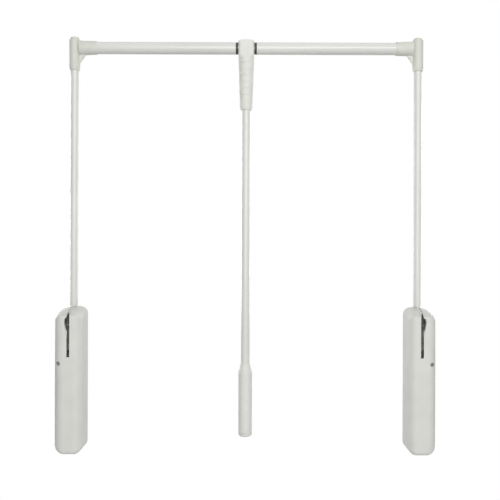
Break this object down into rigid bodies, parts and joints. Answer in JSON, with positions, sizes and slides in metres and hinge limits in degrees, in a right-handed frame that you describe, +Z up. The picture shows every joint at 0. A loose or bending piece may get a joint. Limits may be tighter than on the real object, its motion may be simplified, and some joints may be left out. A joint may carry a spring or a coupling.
{
  "type": "pull-down telescopic wardrobe rail",
  "caption": "Pull-down wardrobe lift: telescopic clothes rail on two arms that swing down from sprung side housings, drawn by a hanging pull rod with a grip.",
  "frame": {"origin": "half way between the two walls, at the housings' mid depth, at the height of their underside", "axes": "+X from the left wall to the right wall, +Y to the back, +Z up"},
  "size_m": [0.77, 0.08, 0.851],
  "materials": {
    "housing_plastic": "satin moulded plastic, pale warm grey",
    "fitting_plastic": "satin moulded plastic, pale warm grey",
    "handle_plastic": "satin moulded plastic, pale warm grey",
    "tube_paint": "pale warm grey powder coat, satin",
    "lever_paint": "pale warm grey powder coat, satin",
    "bush_plastic": "black moulded plastic",
    "zinc_steel": "zinc plated steel",
    "bright_steel": "bright steel",
    "spring_wire": "oiled spring wire",
    "natural_nylon": "natural nylon",
    "buffer_rubber": "black rubber"
  },
  "bodies": {
    "left_housing": {"left_wall_plate": "zinc_steel", "left_lock_screw": "zinc_steel", "left_wall_shell": "housing_plastic", "left_cover_shell": "housing_plastic", "left_cover_screws": "zinc_steel", "left_pivot_pin": "bright_steel", "left_pivot_spacers": "natural_nylon", "left_spring_seat": "bright_steel", "left_lift_spring": "spring_wire", "left_arm_buffer": "buffer_rubber"},
    "left_swing": {"left_lever": "lever_paint", "left_pivot_bush": "natural_nylon", "left_crank_rollers": "natural_nylon", "left_arm_tube": "tube_paint", "left_arm_screw": "zinc_steel", "left_corner_fitting": "fitting_plastic", "left_corner_cap": "fitting_plastic", "left_rail_tube": "tube_paint", "left_rail_bush": "bush_plastic"},
    "left_plunger": {"left_spring_yoke": "bright_steel", "left_spring_washer": "zinc_steel", "left_spring_nut": "zinc_steel"},
    "rail_core": {"rail_core_tube": "tube_paint"},
    "right_swing": {"right_lever": "lever_paint", "right_pivot_bush": "natural_nylon", "right_crank_rollers": "natural_nylon", "right_arm_tube": "tube_paint", "right_arm_screw": "zinc_steel", "right_corner_fitting": "fitting_plastic", "right_corner_cap": "fitting_plastic", "right_rail_tube": "tube_paint", "right_rail_bush": "bush_plastic"},
    "right_housing": {"right_wall_plate": "zinc_steel", "right_lock_screw": "zinc_steel", "right_wall_shell": "housing_plastic", "right_cover_shell": "housing_plastic", "right_cover_screws": "zinc_steel", "right_pivot_pin": "bright_steel", "right_pivot_spacers": "natural_nylon", "right_spring_seat": "bright_steel", "right_lift_spring": "spring_wire", "right_arm_buffer": "buffer_rubber"},
    "right_plunger": {"right_spring_yoke": "bright_steel", "right_spring_washer": "zinc_steel", "right_spring_nut": "zinc_steel"},
    "pull_rod": {"handle_front": "handle_plastic", "handle_rear": "handle_plastic", "handle_screws": "zinc_steel", "pull_rod_tube": "tube_paint", "pull_rod_pin": "bright_steel", "pull_grip": "handle_plastic", "pull_grip_cap": "handle_plastic"}
  },
  "joints": [
    {"name": "arm_swing", "type": "hinge", "parent": "left_housing", "child": "left_swing", "pos_m": [-0.355, 0.011, 0.21], "axis": [1, 0, 0], "range_deg": [0, 95], "stiffness_Nm_per_rad": 12, "springref_deg": -34.38},
    {"name": "left_spring_slide", "type": "slide", "parent": "left_housing", "child": "left_plunger", "axis": [0, 0, 1], "range_m": [-0.0005, 0.02852], "deforming": ["left_lift_spring"]},
    {"name": "rail_left_slide", "type": "slide", "parent": "left_swing", "child": "rail_core", "axis": [1, 0, 0], "range_m": [0, 0.215]},
    {"name": "rail_right_slide", "type": "slide", "parent": "rail_core", "child": "right_swing", "axis": [1, 0, 0], "range_m": [0, 0.2155]},
    {"name": "right_housing_pivot", "type": "hinge", "parent": "right_swing", "child": "right_housing", "pos_m": [0.355, 0.011, 0.21], "axis": [1, 0, 0], "range_deg": [-95.2, 0.2]},
    {"name": "right_spring_slide", "type": "slide", "parent": "right_housing", "child": "right_plunger", "axis": [0, 0, 1], "range_m": [-0.0005, 0.02852], "deforming": ["right_lift_spring"]},
    {"name": "pull_rod_swing", "type": "hinge", "parent": "rail_core", "child": "pull_rod", "pos_m": [0, 0.011, 0.829], "axis": [1, 0, 0], "continuous": true}
  ],
  "couplings": [
    {"joint": "left_spring_slide", "follows": "arm_swing", "m_per_rad": 0.016897},
    {"joint": "right_spring_slide", "follows": "arm_swing", "m_per_rad": 0.016897},
    {"joint": "right_housing_pivot", "follows": "arm_swing", "ratio": -1},
    {"joint": "rail_right_slide", "follows": "rail_left_slide", "ratio": 1}
  ]
}
